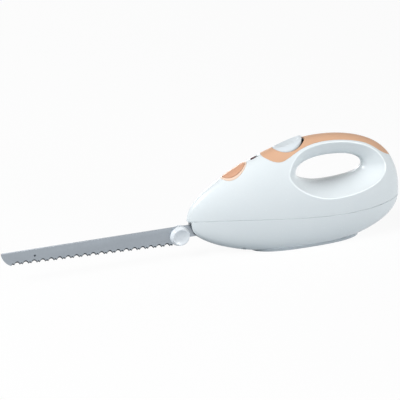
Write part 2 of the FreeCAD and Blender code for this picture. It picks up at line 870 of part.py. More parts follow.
def make_slider(side):
    inner_face = wheel_half_width + slider_gap
    limits = across(side, inner_face, inner_face + slider_thickness)
    half_x = eccentric_radius + yoke_play
    half_z = eccentric_radius + eccentric_throw + yoke_reach
    yoke = box(wheel_x - half_x - yoke_frame, wheel_x + half_x + yoke_frame, *limits,
               wheel_height - half_z - yoke_frame / 2, wheel_height + half_z + yoke_frame / 2)
    window = box(wheel_x - half_x, wheel_x + half_x, *limits, wheel_height - half_z, wheel_height + half_z)
    arm = box(arm_front_x, wheel_x - half_x, *limits, arm_bottom_height, arm_top_height)
    blade_face = blade_split / 2 + blade_thickness
    jog = across(side, blade_face + free_gap, inner_face)
    head = box(arm_front_x, arm_jog_x, *jog, arm_bottom_height, arm_top_height)
    peg_x = tang_rear_x - fork_depth
    peg_limits = across(side, blade_split / 2, inner_face)
    peg = rod_y(peg_radius, *peg_limits, peg_x, fork_height)
    return yoke.cut(window).fuse([arm, head, peg]).removeSplitter()


def make_latch_spring(side):
    """The leaf on each slider that snaps behind the blade's tang."""
    outer_face = wheel_half_width + slider_gap + slider_thickness
    limits = across(side, blade_split / 2 + blade_thickness + free_gap, outer_face)
    return box(arm_front_x, arm_front_x + latch_spring_length, *limits, arm_top_height,
               arm_top_height + latch_spring_thickness)


def make_slide_block():
    block = box(block_front_x, block_rear_x, -block_half_width, block_half_width, 0, block_top_height)
    inner_face = wheel_half_width + slider_gap
    slots = []
    for _, side in sides:
        limits = across(side, inner_face - slip, inner_face + slider_thickness + slip)
        slots.append(box(block_front_x, block_rear_x, *limits, arm_bottom_height - slip,
                         arm_top_height + latch_spring_thickness + slip))
    return within_wall(block, slip).cut(slots)


def tooth_ring(radius, count, share, rise, drop, half):
    """A toothed disc on the Y axis, with one tooth pointing up."""
    points = []
    for k in range(count):
        middle = 2 * math.pi * k / count
        step = 2 * math.pi / count
        flank = ((-1 / 2, -drop), (-share / 2, -drop), (-share / 4, rise), (share / 4, rise),
                 (share / 2, -drop))
        for turn, size in flank:
            angle = middle + turn * step
            points.append(Vector((radius + size) * math.sin(angle), 0, (radius + size) * math.cos(angle)))
    face = Part.Face(Part.makePolygon(points + points[:1]))
    ring = face.extrude(Vector(0, 2 * half, 0))
    ring.translate(Vector(0, -half, 0))
    return ring


def make_worm_wheel():
    wheel = tooth_ring(wheel_radius, wheel_teeth, wheel_tooth_share, tooth_rise, tooth_drop, wheel_half_width)
    wheel.translate(Vector(wheel_x, 0, wheel_height))
    return wheel.cut(rod_y(axle_radius + running, -wide, wide, wheel_x, wheel_height))


def make_eccentric(side):
    limits = across(side, wheel_half_width, wheel_half_width + eccentric_thickness)
    disc = rod_y(eccentric_radius, *limits, wheel_x, wheel_height - side * eccentric_throw)
    return disc.cut(rod_y(axle_radius + running, -wide, wide, wheel_x, wheel_height))


def make_gear_axle():
    reach = cheek_inner + cheek_thickness
    return rod_y(axle_radius, -reach, reach, wheel_x, wheel_height)


def frame_screw_places():
    reach = cheek_inner + cheek_thickness + frame_screw_reach
    return [(x, side * reach) for x in (frame_front_x + frame_screw_inset, frame_rear_x - frame_screw_inset)
            for _, side in sides]


def make_gear_frame():
    outer_face = cheek_inner + cheek_thickness
    solids = []
    for _, side in sides:
        solids.append(box(frame_front_x, frame_rear_x, *across(side, cheek_inner, outer_face), floor_height,
                          frame_top_height))
        solids.append(box(lever_pivot_x - lever_eye, frame_front_x + frame_bridge,
                          *across(side, cheek_inner, outer_face), motor_height,
                          lever_pivot_height + lever_eye))
    for x, y in frame_screw_places():
        tab = across(math.copysign(1, y), outer_face - cheek_thickness / 2, abs(y) + frame_tab_half)
        solids.append(box(x - frame_tab_half, x + frame_tab_half, *tab, frame_flange_height,
                          frame_flange_height + frame_flange_thickness))
    for x in (frame_front_x, frame_rear_x - frame_bridge):
        solids.append(box(x, x + frame_bridge, -outer_face, outer_face, motor_height - frame_bridge_drop,
                          frame_top_height))
    frame = solids[0].fuse(solids[1:])
    cuts = [rod_y(axle_radius, -wide, wide, wheel_x, wheel_height)]
    cuts.append(rod_x(shaft_radius + bearing_wall, nose_x, tail_x, 0, motor_height))
    cuts.append(rod_y(lever_pin_radius, -wide, wide, lever_pivot_x, lever_pivot_height))
    cuts += [rod_z(screw_radius + slip, 0, motor_height, x, y) for x, y in frame_screw_places()]
    return within_wall(frame.cut(cuts).removeSplitter(), slip)


def make_frame_screws():
    top = frame_flange_height + frame_flange_thickness
    screws = []
    for x, y in frame_screw_places():
        head = rod_z(screw_head_radius, top, top + screw_head_height, x, y)
        screws.append(head.fuse(rod_z(screw_radius, floor_height + slip, top, x, y)))
    return Part.makeCompound(screws)


def make_lever_pin():
    reach = cheek_inner + cheek_thickness
    return rod_y(lever_pin_radius, -reach, reach, lever_pivot_x, lever_pivot_height)


def make_pivot_pin():
    reach = pivot_lug_inner + pivot_lug_thickness
    return rod_y(pivot_pin_radius, -reach, reach, trigger_pivot_x, trigger_pivot_height)


def bearing(x):
    bush = rod_x(shaft_radius + bearing_wall, x, x + frame_bridge, 0, motor_height)
    return bush.cut(rod_x(shaft_radius + running, x, x + frame_bridge, 0, motor_height))


def make_bearings():
    return Part.makeCompound([bearing(x) for x in (frame_front_x, frame_rear_x - frame_bridge)])


def make_rear_bearing():
    bush = rod_x(shaft_radius + bearing_wall, bracket_x, bracket_x + 2 * bracket_thickness, 0, motor_height)
    return bush.cut(rod_x(shaft_radius + running, nose_x, tail_x, 0, motor_height))


def make_motor_shaft():
    return rod_x(shaft_radius, shaft_front_x, shaft_rear_x, 0, motor_height)


def make_worm():
    """A single thread whose pitch is the wheel's, seated so that a groove meets the upper tooth."""
    length = worm_turns * wheel_pitch
    root = worm_radius - tooth_drop
    crest = worm_radius + tooth_rise
    half = wheel_pitch * worm_thread_share / 2
    front = -length / 2
    helix = Part.makeHelix(wheel_pitch, length, root)
    outline = [Vector(root - slip, 0, -2 * half), Vector(crest, 0, -half), Vector(crest, 0, half),
               Vector(root - slip, 0, 2 * half)]
    profile = Part.makePolygon(outline + outline[:1])
    sweep = Part.Wire(helix).makePipeShell([profile], True, True)
    thread = sweep if sweep.Volume > 0 else sweep.reversed()
    core = Part.makeCylinder(root, length + 2 * wheel_pitch, Vector(0, 0, -wheel_pitch))
    bore = Part.makeCylinder(shaft_radius, length + 4 * wheel_pitch, Vector(0, 0, -2 * wheel_pitch))
    worm = core.fuse(thread).cut(bore)
    worm.rotate(Vector(0, 0, 0), Vector(0, 1, 0), 90)
    worm.translate(Vector(wheel_x + front, 0, motor_height))
    return worm


def make_cooling_fan():
    hub = rod_x(fan_hub_radius, fan_x, fan_x + fan_length, 0, motor_height)
    plate = rod_x(fan_radius, fan_x + fan_length - fan_plate, fan_x + fan_length, 0, motor_height)
    vanes = []
    for k in range(fan_blades):
        vane = box(fan_x, fan_x + fan_length - fan_plate / 2, -fan_plate / 2, fan_plate / 2,
                   motor_height + fan_hub_radius - fan_plate, motor_height + fan_radius - fan_plate)
        vane.rotate(Vector(0, 0, motor_height), Vector(1, 0, 0), 360 * k / fan_blades)
        vanes.append(vane)
    return plate.fuse([hub] + vanes).cut(make_motor_shaft())


def stator_block(growth):
    x1 = stator_front_x + stator_length
    half_y, half_z = stator_width / 2 + growth, stator_height / 2 + growth
    block = box(stator_front_x - growth, x1 + growth, -half_y, half_y, motor_height - half_z,
                motor_height + half_z)
    corners = [edge for edge in block.Edges
               if abs(edge.Vertexes[0].X - edge.Vertexes[-1].X) > stator_length / 2]
    return block.makeFillet(stator_corner, corners)


def make_stator_core():
    x0, x1 = stator_front_x, stator_front_x + stator_length
    cuts = [rod_x(stator_bore, x0, x1, 0, motor_height)]
    for _, side in sides:
        limits = across(side, coil_inner - slip, coil_inner + coil_thickness + slip)
        for up in (-1, 1):
            heights = sorted(motor_height + up * h for h in (pole_half_height, coil_half_height + slip))
            cuts.append(box(x0, x1, *limits, *heights))
    for y, z in motor_screw_places():
        cuts.append(rod_x(motor_screw_radius + slip, x0, x1, y, z))
    return stator_block(0).cut(cuts)


def make_field_coil(side):
    limits = across(side, coil_inner, coil_inner + coil_thickness)
    x0, x1 = stator_front_x, stator_front_x + stator_length
    coil = box(x0 - coil_overhang, x1 + coil_overhang, *limits, motor_height - coil_half_height,
               motor_height + coil_half_height)
    room = box(x0 - slip, x1 + slip, *limits, motor_height - pole_half_height - slip,
               motor_height + pole_half_height + slip)
    return coil.cut(room)


def motor_screw_places():
    return [(motor_screw_y, motor_height - motor_screw_z), (-motor_screw_y, motor_height + motor_screw_z)]


def make_motor_screws():
    tip = stator_front_x
    head = bracket_x + bracket_thickness
    screws = []
    for y, z in motor_screw_places():
        shank = rod_x(motor_screw_radius, tip, head, y, z)
        screws.append(shank.fuse(rod_x(screw_head_radius, head, head + screw_head_height, y, z)))
    return Part.makeCompound(screws)


def slot_bars(width, inner_radius, outer_radius, x0, x1):
    bars = []
    for k in range(armature_slots):
        bar = box(x0, x1, -width / 2, width / 2, motor_height + inner_radius, motor_height + outer_radius)
        bar.rotate(Vector(0, 0, motor_height), Vector(1, 0, 0), 360 * k / armature_slots)
        bars.append(bar)
    return bars


def make_armature_core():
    x0, x1 = stator_front_x, stator_front_x + stator_length
    core = rod_x(armature_radius, x0, x1, 0, motor_height).cut(make_motor_shaft())
    return core.cut(slot_bars(slot_width, armature_radius - slot_depth, armature_radius + slot_width, x0, x1))


def make_armature_winding():
    x0, x1 = stator_front_x, stator_front_x + stator_length
    top = armature_radius - winding_gap * 2
    bottom = armature_radius - slot_depth + winding_gap
    bars = slot_bars(slot_width - 2 * winding_gap, bottom, top - winding_gap, x0 - winding_overhang,
                     x1 + winding_overhang)
    rings = []
    for start in (x0 - winding_overhang, x1 + winding_gap):
        ring = rod_x(top, start, start + winding_overhang - winding_gap, 0, motor_height)
        bore = rod_x(shaft_radius + winding_gap, start, start + winding_overhang, 0, motor_height)
        rings.append(ring.cut(bore))
    return rings[0].fuse([rings[1]] + bars)


def make_commutator():
    drum = rod_x(commutator_radius, commutator_x, commutator_x + commutator_length, 0, motor_height)
    slits = []
    for k in range(commutator_bars):
        slit = box(commutator_x, commutator_x + commutator_length, -bar_slit / 2, bar_slit / 2,
                   motor_height + commutator_radius - bar_slit, motor_height + commutator_radius + bar_slit)
        slit.rotate(Vector(0, 0, motor_height), Vector(1, 0, 0), 360 * (k + 1 / 2) / commutator_bars)
        slits.append(slit)
    return drum.cut([make_motor_shaft()] + slits)


def brush_box(side, growth, inner_reach, outer_reach):
    return box(brush_x - growth, brush_x + brush_length + growth, *across(side, inner_reach, outer_reach),
               motor_height - brush_half_height - growth, motor_height + brush_half_height + growth)


def make_brush(side):
    start = commutator_radius + running
    return brush_box(side, 0, start, start + brush_depth)


def make_brush_holder(side):
    start = commutator_radius + free_gap
    case = brush_box(side, brush_case, start, start + brush_case_reach)
    return case.cut(brush_box(side, running, start, start + brush_case_reach - brush_case))


def make_brush_spring(side):
    start = commutator_radius + running + brush_depth
    end = commutator_radius + free_gap + brush_case_reach - brush_case
    middle = brush_x + brush_length / 2
    spring = rod_y(brush_half_height - brush_case, *across(side, start, end), middle, motor_height)
    bore = rod_y(brush_half_height - 2 * brush_case, *across(side, start, end), middle, motor_height)
    return spring.cut(bore)


def make_rear_bracket():
    plate = box(bracket_x, bracket_x + bracket_thickness, -bracket_half_width, bracket_half_width,
                motor_height - bracket_drop, motor_height + bracket_rise + boss_radius)
    hub = rod_x(shaft_radius + 2 * bearing_wall, bracket_x, bracket_x + 2 * bracket_thickness, 0,
                motor_height)
    arms = []
    for _, side in sides:
        limits = across(side, commutator_radius + free_gap + brush_case, commutator_radius + brush_case_reach)
        arms.append(box(brush_x + brush_length + brush_case, bracket_x, *limits,
                        motor_height - brush_half_height, motor_height + brush_half_height))
    cuts = [rod_x(shaft_radius + bearing_wall, nose_x, tail_x, 0, motor_height)]
    cuts += [rod_x(motor_screw_radius + slip, bracket_x, tail_x, y, z) for y, z in motor_screw_places()]
    return within_wall(plate.fuse([hub] + arms).cut(cuts), slip)


def make_switch_body():
    case = box(switch_front_x, switch_rear_x, -switch_half_width, switch_half_width, switch_bottom_height,
               switch_top_height)
    socket_floor = switch_top_height - plunger_socket - plunger_rise
    socket = rod_z(plunger_radius + slip, socket_floor, high, plunger_x, 0)
    return case.cut(socket)


def make_switch_plunger():
    low = switch_top_height - plunger_socket
    return rod_z(plunger_radius, low, switch_top_height + plunger_rise, plunger_x, 0)


def make_trigger_spring():
    top = trigger_floor_height - free_gap
    tube = rod_z(trigger_spring_outer, switch_top_height, top, trigger_spring_x, 0)
    return tube.cut(rod_z(trigger_spring_inner, switch_top_height, top, trigger_spring_x, 0))


def make_cord_gland():
    bush = rod_x(gland_radius - running, gland_rear_x, tail_x, 0, gland_height).common(outer)
    collar = rod_x(gland_radius + gland_collar, gland_rear_x, gland_rear_x + gland_collar_length, 0,
                   gland_height)
    bore = rod_x(gland_bore, nose_x, tail_x + overrun, 0, gland_height)
    return bush.fuse(within_wall(collar, slip)).cut(bore)


def make_capacitor():
    can = rod_x(capacitor_radius, capacitor_x, capacitor_x + capacitor_length, capacitor_y,
                floor_height + capacitor_radius + slip)
    return within_wall(can, slip)


def make_terminal_block():
    block = box(terminal_front_x, terminal_front_x + terminal_length, terminal_inner_y,
                terminal_inner_y + terminal_width, floor_height, floor_height + terminal_height)
    pitch = terminal_width / terminal_holes
    cuts = []
    for k in range(terminal_holes):
        y = terminal_inner_y + (k + 1 / 2) * pitch
        cuts.append(rod_x(terminal_hole_radius, terminal_front_x, terminal_front_x + terminal_length, y,
                          floor_height + terminal_height / 2))
    return within_wall(block.cut(cuts), slip)


def make_cord_clamp():
    bar = box(clamp_x, clamp_x + clamp_length, -clamp_half_width, clamp_half_width, 0,
              gland_height - gland_bore)
    return within_wall(bar, slip).cut(rod_x(gland_bore + slip, nose_x, tail_x, 0, gland_height))


pieces["upper_housing"] = make_upper_housing()
pieces["lower_housing"] = make_lower_housing()
pieces["grip_cover"] = make_grip_cover()
pieces["base_foot"] = make_base_foot()
pieces["case_screws"] = make_case_screws()
pieces["foot_screws"] = make_foot_screws()
pieces["trigger_button"] = make_trigger()
pieces["trigger_pivot_pin"] = make_pivot_pin()
pieces["trigger_spring"] = make_trigger_spring()
pieces["switch_body"] = make_switch_body()
pieces["switch_plunger"] = make_switch_plunger()
pieces["release_button"] = make_release_button()
pieces["release_button_bezel"] = make_button_bezel()
pieces["release_spring"] = make_button_spring()
pieces["release_lever"] = make_release_lever()
pieces["release_lever_pin"] = make_lever_pin()
pieces["safety_catch"] = make_safety_catch()
pieces["nose_guide"] = make_nose_guide()
pieces["slide_block"] = make_slide_block()
pieces["blade_stud"] = make_blade_stud()
for name, side in sides:
    pieces["blade_" + name] = make_blade(side)
    pieces["blade_grip_" + name] = make_blade_grip(side)
    pieces["drive_slider_" + name] = make_slider(side)
    pieces["latch_spring_" + name] = make_latch_spring(side)
    pieces["eccentric_" + name] = make_eccentric(side)
    pieces["field_coil_" + name] = make_field_coil(side)
    pieces["carbon_brush_" + name] = make_brush(side)
    pieces["brush_holder_" + name] = make_brush_holder(side)
    pieces["brush_spring_" + name] = make_brush_spring(side)
pieces["worm_wheel"] = make_worm_wheel()
pieces["gear_axle"] = make_gear_axle()
pieces["gear_frame"] = make_gear_frame()
pieces["frame_screws"] = make_frame_screws()
pieces["shaft_bearings"] = make_bearings()
pieces["rear_bearing"] = make_rear_bearing()
pieces["motor_shaft"] = make_motor_shaft()
pieces["worm"] = make_worm()
pieces["cooling_fan"] = make_cooling_fan()
pieces["stator_core"] = make_stator_core()
pieces["motor_screws"] = make_motor_screws()
pieces["armature_core"] = make_armature_core()
pieces["armature_winding"] = make_armature_winding()
pieces["commutator"] = make_commutator()
pieces["rear_bracket"] = make_rear_bracket()
pieces["cord_gland"] = make_cord_gland()
pieces["suppression_capacitor"] = make_capacitor()
pieces["terminal_block"] = make_terminal_block()
pieces["cord_clamp"] = make_cord_clamp()

os.makedirs("parts", exist_ok=True)
for name, shape in pieces.items():
    state = "valid" if shape.isValid() else "INVALID"
    print(name, len(shape.Solids), "solids", round(shape.Volume, 1), "mm3", state)
    shape.exportStep("parts/" + name + ".step")
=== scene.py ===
"""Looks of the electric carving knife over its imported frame: finishes, ground teeth, screws and studio."""
import bpy
import bmesh
import json
import math
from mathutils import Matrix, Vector

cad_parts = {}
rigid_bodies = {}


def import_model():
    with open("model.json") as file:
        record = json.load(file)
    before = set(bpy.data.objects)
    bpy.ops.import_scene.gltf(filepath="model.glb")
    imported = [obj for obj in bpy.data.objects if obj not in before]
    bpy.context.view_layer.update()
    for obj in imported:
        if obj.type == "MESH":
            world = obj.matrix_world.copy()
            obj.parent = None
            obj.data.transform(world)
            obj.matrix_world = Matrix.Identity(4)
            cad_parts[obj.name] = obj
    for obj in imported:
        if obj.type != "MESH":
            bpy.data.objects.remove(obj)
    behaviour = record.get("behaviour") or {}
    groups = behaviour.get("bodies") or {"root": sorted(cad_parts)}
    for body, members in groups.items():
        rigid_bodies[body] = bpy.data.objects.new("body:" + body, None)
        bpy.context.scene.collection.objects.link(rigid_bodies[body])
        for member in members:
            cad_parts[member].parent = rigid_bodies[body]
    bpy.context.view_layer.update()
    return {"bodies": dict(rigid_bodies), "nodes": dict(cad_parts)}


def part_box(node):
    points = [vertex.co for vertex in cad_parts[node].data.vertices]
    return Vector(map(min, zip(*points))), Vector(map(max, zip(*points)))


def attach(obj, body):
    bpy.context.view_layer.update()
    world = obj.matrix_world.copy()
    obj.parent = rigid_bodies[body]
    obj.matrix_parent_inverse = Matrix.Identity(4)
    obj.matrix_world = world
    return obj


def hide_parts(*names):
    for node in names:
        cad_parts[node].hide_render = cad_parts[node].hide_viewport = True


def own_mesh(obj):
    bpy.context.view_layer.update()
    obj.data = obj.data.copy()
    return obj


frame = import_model()
nodes = frame["nodes"]
body_names = {empty: name for name, empty in frame["bodies"].items()}
mm = 0.001

# How far a finish's gloss varies, and how much duller a groove is, as shares of its roughness
moulded_gloss_share = 0.15
worked_gloss_share = 0.2
groove_dull_share = 0.3
# The wave texture's own factor: its bands follow the sine of this times scale times place
wave_factor = 20

# Corners closer than this, in millimetres, are one, and edges past this angle are sharp
weld_distance = 0.002
sharp_angle = math.radians(30)

# Teeth of both blades, in millimetres: a wheel leans over each scallop, a smaller one over each nick, and
# both leave a hollow on the blade's outer face
tooth_count = 20
tooth_pitch = 8.69
first_crest_x = -307.23
first_crest_height = 23.68
crest_fall = 0.315
nick_drop = 1.6
scallop_wheel = 4.2
nick_wheel = 1.5
wheel_length = 30.0
wheel_lean = math.radians(27)
wheel_sides = 40

# Screws under the handle and the foot, in millimetres and in shares of the head's radius
screw_head_height = 2.0
recess_width = 0.9
recess_depth = 1.2
recess_length_share = 1.2
head_taper_share = 0.82
shank_radius_share = 0.5
head_sides = 32
shank_sides = 20

# Studio, in metres and watts
floor_reach = 6.0
floor_white_share = 0.93
surround_fill = 0.05
pure_white = (1, 1, 1, 1)
soft_box_size = 0.9
soft_box_aim = (-0.05, 0, 0.06)
soft_boxes = {"left_soft_box": ((-1.75, -0.37, 1.38), 47),
              "right_soft_box": ((1.24, -1.75, 0.39), 35),
              "far_soft_box": ((-0.1, 2.1, 0.3), 13)}

# Camera, in metres, with its lens and sensor in millimetres
camera_place = (-0.7226, -1.5475, 0.7506)
camera_aim = (-0.11466, 0, 0.06088)
camera_lens = 160.9
camera_sensor = 36.0


def linear(hex_value):
    """The linear colour of an sRGB hex value."""
    parts = [int(hex_value[i:i + 2], 16) / 255 for i in (0, 2, 4)]
    return tuple(c / 12.92 if c <= 0.04045 else ((c + 0.055) / 1.055) ** 2.4 for c in parts) + (1.0,)


def add(tree, kind, inputs=None, **settings):
    """One node with its settings; an input is a value or the socket that feeds it."""
    made = tree.nodes.new(kind)
    for name, value in settings.items():
        setattr(made, name, value)
    for name, value in (inputs or {}).items():
        socket = made.inputs[name]
        if isinstance(value, bpy.types.NodeSocket):
            tree.links.new(value, socket)
        else:
            socket.default_value = value
    return made


def new_finish(name, metallic=0.0):
    """A material of that name, with its tree, its shader and the place that its patterns follow."""
    material = bpy.data.materials.new(name)
    material.use_nodes = True
    tree = material.node_tree
    shader = tree.nodes["Principled BSDF"]
    shader.inputs["Metallic"].default_value = metallic
    place = add(tree, "ShaderNodeTexCoord").outputs["Object"]
    return material, tree, shader, place


def feed(tree, shader, colour, roughness, height, depth, edge=0.0):
    """Joins a pattern to the shader: colour, gloss, relief in millimetres and the rounding of the edges."""
    tree.links.new(colour, shader.inputs["Base Color"])
    tree.links.new(roughness, shader.inputs["Roughness"])
    relief = {"Height": height, "Distance": depth * mm, "Strength": 1.0}
    if edge:
        relief["Normal"] = add(tree, "ShaderNodeBevel", {"Radius": edge * mm}, samples=4).outputs["Normal"]
    bump = add(tree, "ShaderNodeBump", relief)
    tree.links.new(bump.outputs["Normal"], shader.inputs["Normal"])


def moulded(name, colour, shade, rough, grain, depth, cloud=28.0, edge=0.0):
    """Moulded plastic or rubber: a faint cloudiness of the pigment, the mould's grain and a varying gloss.
    In millimetres: cloud and grain are widths, depth is the grain's height, edge the rounding of edges."""
    material, tree, shader, place = new_finish(name)
    wide = add(tree, "ShaderNodeTexNoise", {"Vector": place, "Scale": 1 / (cloud * mm), "Detail": 2.0})
    tint = add(tree, "ShaderNodeMix", {"Factor": wide.outputs["Fac"], "A": linear(colour),
                                       "B": linear(shade)}, data_type="RGBA")
    fine = add(tree, "ShaderNodeTexNoise", {"Vector": place, "Scale": 1 / (grain * mm), "Detail": 3.0})
    gloss = add(tree, "ShaderNodeMapRange", {"Value": fine.outputs["Fac"],
                                             "To Min": rough * (1 - moulded_gloss_share),
                                             "To Max": rough * (1 + moulded_gloss_share)})
    feed(tree, shader, tint.outputs["Result"], gloss.outputs["Result"], fine.outputs["Fac"], depth, edge)
    return material


def worked(name, colour, shade, rough, strokes, depth, cloud=30.0):
    """Metal with the marks of its making: strokes are a mark's width along X, Y and Z, in millimetres."""
    material, tree, shader, place = new_finish(name, metallic=1.0)
    drawn = add(tree, "ShaderNodeMapping", {"Vector": place, "Scale": [1 / (s * mm) for s in strokes]})
    marks = add(tree, "ShaderNodeTexNoise", {"Vector": drawn.outputs["Vector"], "Scale": 1.0, "Detail": 4.0})
    wide = add(tree, "ShaderNodeTexNoise", {"Vector": place, "Scale": 1 / (cloud * mm), "Detail": 1.0})
    tint = add(tree, "ShaderNodeMix", {"Factor": marks.outputs["Fac"], "A": linear(colour),
                                       "B": linear(shade)}, data_type="RGBA")
    gloss = add(tree, "ShaderNodeMapRange", {"Value": wide.outputs["Fac"],
                                             "To Min": rough * (1 - worked_gloss_share),
                                             "To Max": rough * (1 + worked_gloss_share)})
    feed(tree, shader, tint.outputs["Result"], gloss.outputs["Result"], marks.outputs["Fac"], depth)
    return material


def banded(name, colour, gap_colour, rough, pitch, depth, axis, metallic):
    """Sheets or wires side by side along an axis: pitch is one of them, depth the groove between two."""
    material, tree, shader, place = new_finish(name, metallic)
    bands = add(tree, "ShaderNodeTexWave", {"Vector": place, "Distortion": 0.4, "Detail": 1.0,
                                            "Scale": 2 * math.pi / (wave_factor * pitch * mm)},
                wave_type="BANDS", bands_direction=axis, wave_profile="SIN")
    tint = add(tree, "ShaderNodeMix", {"Factor": bands.outputs["Fac"], "A": linear(gap_colour),
                                       "B": linear(colour)}, data_type="RGBA")
    gloss = add(tree, "ShaderNodeMapRange", {"Value": bands.outputs["Fac"],
                                             "To Min": rough * (1 + groove_dull_share), "To Max": rough})
    feed(tree, shader, tint.outputs["Result"], gloss.outputs["Result"], bands.outputs["Fac"], depth)
    return material


# Glossy white ABS, injection moulded and polished in the mould: bright, faintly blue, with soft reflections
white_abs = moulded("white_abs_polished_mould", "EEF4F6", "E9F0F3",
                    rough=0.26, grain=1.6, depth=0.004, edge=0.3)
# The same ABS on the trigger, a little greyer and bluer than the body's white as painted shade for its dish:
# satin, so that a finger holds on its dish
trigger_abs_painted_shade = moulded("white_abs_satin_trigger_painted_shade", "E3EAEE", "DDE5EA",
                      rough=0.5, grain=0.9, depth=0.008, edge=0.4)
# The same ABS on the thumb discs: glossy, with a softer edge
disc_abs = moulded("white_abs_thumb_discs", "EFF4F8", "EAF0F5",
                   rough=0.28, grain=1.4, depth=0.004, edge=0.4)
# Peach soft-touch rubber moulded over the crown: matt, with a fine even grain
peach_rubber = moulded("peach_tpe_soft_touch", "E5B998", "DDAE8D",
                       rough=0.52, grain=0.5, depth=0.012, edge=0.5)
# Peach ABS of the release button: satin
peach_abs = moulded("peach_abs_satin", "DFAB8B", "D6A181",
                    rough=0.38, grain=0.8, depth=0.006, edge=0.5)
# Paler peach ABS of the ring round the button: satin, a light line about it
pale_peach_abs = moulded("pale_peach_abs", "F6DCC8", "F1D2BB",
                         rough=0.34, grain=0.8, depth=0.006, edge=0.3)
# Dark red ABS of the safety catch: dull, a small dark spot
maroon_abs = moulded("maroon_abs", "4A0C1C", "3C0916",
                     rough=0.45, grain=0.6, depth=0.006, edge=0.3)
# Dark grey acetal of the blade guide: slippery, dull
grey_acetal = moulded("dark_grey_acetal", "4B4F57", "42464D",
                      rough=0.42, grain=0.7, depth=0.008, edge=0.2)
# Black glass-filled nylon of the switch, gland and holders: dull, with a coarse flow grain
black_nylon = moulded("black_filled_nylon", "26282B", "1D1F22",
                      rough=0.5, grain=0.6, depth=0.015, cloud=9.0)
# Natural nylon of the worm wheel and its eccentrics: milky cream
cream_nylon = moulded("natural_nylon", "E9E2CF", "E1D8C1",
                      rough=0.4, grain=0.9, depth=0.006)
# Rubber of the foot, light grey and darkened further as painted shade under the belly: matt, with a grain
# against slipping
foot_rubber = moulded("grey_rubber_painted_shade", "B4BCC2", "ACB5BB",
                      rough=0.6, grain=0.7, depth=0.02, edge=0.4)
# Pressed carbon of the brushes: soft black with a graphite sheen
carbon = moulded("pressed_carbon", "2B2B2D", "222224",
                 rough=0.55, grain=0.25, depth=0.01, cloud=4.0)
# Ground stainless steel of the blades: grey, with fine lines across the blade
blade_steel = worked("ground_stainless_steel", "A7AEB5", "939BA3",
                     rough=0.36, strokes=(0.25, 0.25, 9.0), depth=0.004)
# The same steel where the teeth are ground: darker and rougher, with the wheel's marks
ground_steel = worked("wheel_ground_steel", "3C4249", "2C3137",
                      rough=0.42, strokes=(0.15, 0.15, 2.0), depth=0.008)
# Steel of the stud that keeps the blades together, coloured near black as painted shade of a recessed hole:
# a dark, dull dot
stud_steel_painted_shade = worked("stud_steel_painted_hole_shade", "3F454B", "33383E",
                     rough=0.45, strokes=(0.4, 0.4, 0.4), depth=0.004, cloud=2.0)
# Zinc-plated steel of screws, pins and shaft: bright and slightly cloudy
zinc_steel = worked("zinc_plated_steel", "B9BEC4", "A5ABB3",
                    rough=0.34, strokes=(0.8, 0.8, 0.8), depth=0.003, cloud=3.0)
# Drawn spring wire: dark and smooth
spring_steel = worked("drawn_spring_wire", "8E9399", "7D8288",
                      rough=0.3, strokes=(0.6, 0.6, 0.6), depth=0.002)
# Die-cast alloy of the gear frame and brackets: grey, with the skin of the casting
cast_alloy = worked("die_cast_alloy", "A9ABAD", "97999C",
                    rough=0.5, strokes=(0.9, 0.9, 0.9), depth=0.02, cloud=12.0)
# Sintered bronze of the bearings: brown, with fine pores
bronze = worked("sintered_bronze", "A97C4A", "8C6438",
                rough=0.45, strokes=(0.3, 0.3, 0.3), depth=0.012, cloud=5.0)
# Drawn brass of the brush tubes and terminals: yellow, with lines along it
brass = worked("drawn_brass", "C9A85C", "B6954B",
               rough=0.32, strokes=(4.0, 0.3, 0.3), depth=0.003)
# Stacked sheets of the motor's iron: thin bright edges with dark varnish between
sheet_iron = banded("varnished_iron_sheets", "8A8D92", "3A3C40",
                    rough=0.4, pitch=0.5, depth=0.03, axis="X", metallic=0.8)
# Enamelled copper wire, wound in close turns: warm, with dark lines between the turns
copper_wire = banded("enamelled_copper_wire", "B4693A", "5F2F17",
                     rough=0.3, pitch=0.45, depth=0.1, axis="X", metallic=0.9)

finishes = {"white_plastic": white_abs, "disc_white": disc_abs, "soft_peach": peach_rubber,
            "pale_peach": pale_peach_abs, "maroon_plastic": maroon_abs, "dark_plastic": grey_acetal,
            "black_plastic": black_nylon, "gear_nylon": cream_nylon, "foot_rubber": foot_rubber,
            "carbon": carbon, "blade_steel": blade_steel, "zinc_steel": zinc_steel,
            "spring_steel": spring_steel, "frame_alloy": cast_alloy, "bronze": bronze, "brass_case": brass,
            "laminations": sheet_iron, "copper": copper_wire}
own_finishes = {"release_button": peach_abs, "blade_stud": stud_steel_painted_shade, "trigger_button": trigger_abs_painted_shade}

for name, node in nodes.items():
    slot = node.data.materials[0].name
    node.data.materials.clear()
    node.data.materials.append(own_finishes.get(name, finishes[slot]))


def merged(node):
    """A copy of a CAD node's mesh as one closed skin."""
    mesh = node.data.copy()
    if "custom_normal" in mesh.attributes:
        mesh.attributes.remove(mesh.attributes["custom_normal"])
    work = bmesh.new()
    work.from_mesh(mesh)
    bmesh.ops.remove_doubles(work, verts=work.verts, dist=weld_distance * mm)
    work.to_mesh(mesh)
    work.free()
    return mesh


def new_piece(name, mesh):
    """An object of that mesh in the scene."""
    piece = bpy.data.objects.new(name, mesh)
    bpy.context.scene.collection.objects.link(piece)
    return piece


def new_tree(name, inputs):
    """A Geometry Nodes tree with a geometry in and out and named inputs for its sizes."""
    tree = bpy.data.node_groups.new(name, "GeometryNodeTree")
    tree.interface.new_socket("Geometry", in_out="INPUT", socket_type="NodeSocketGeometry")
    for label, kind in inputs.items():
        tree.interface.new_socket(label, in_out="INPUT", socket_type="NodeSocket" + kind)
    tree.interface.new_socket("Geometry", in_out="OUTPUT", socket_type="NodeSocketGeometry")
    return tree, tree.nodes.new("NodeGroupInput").outputs


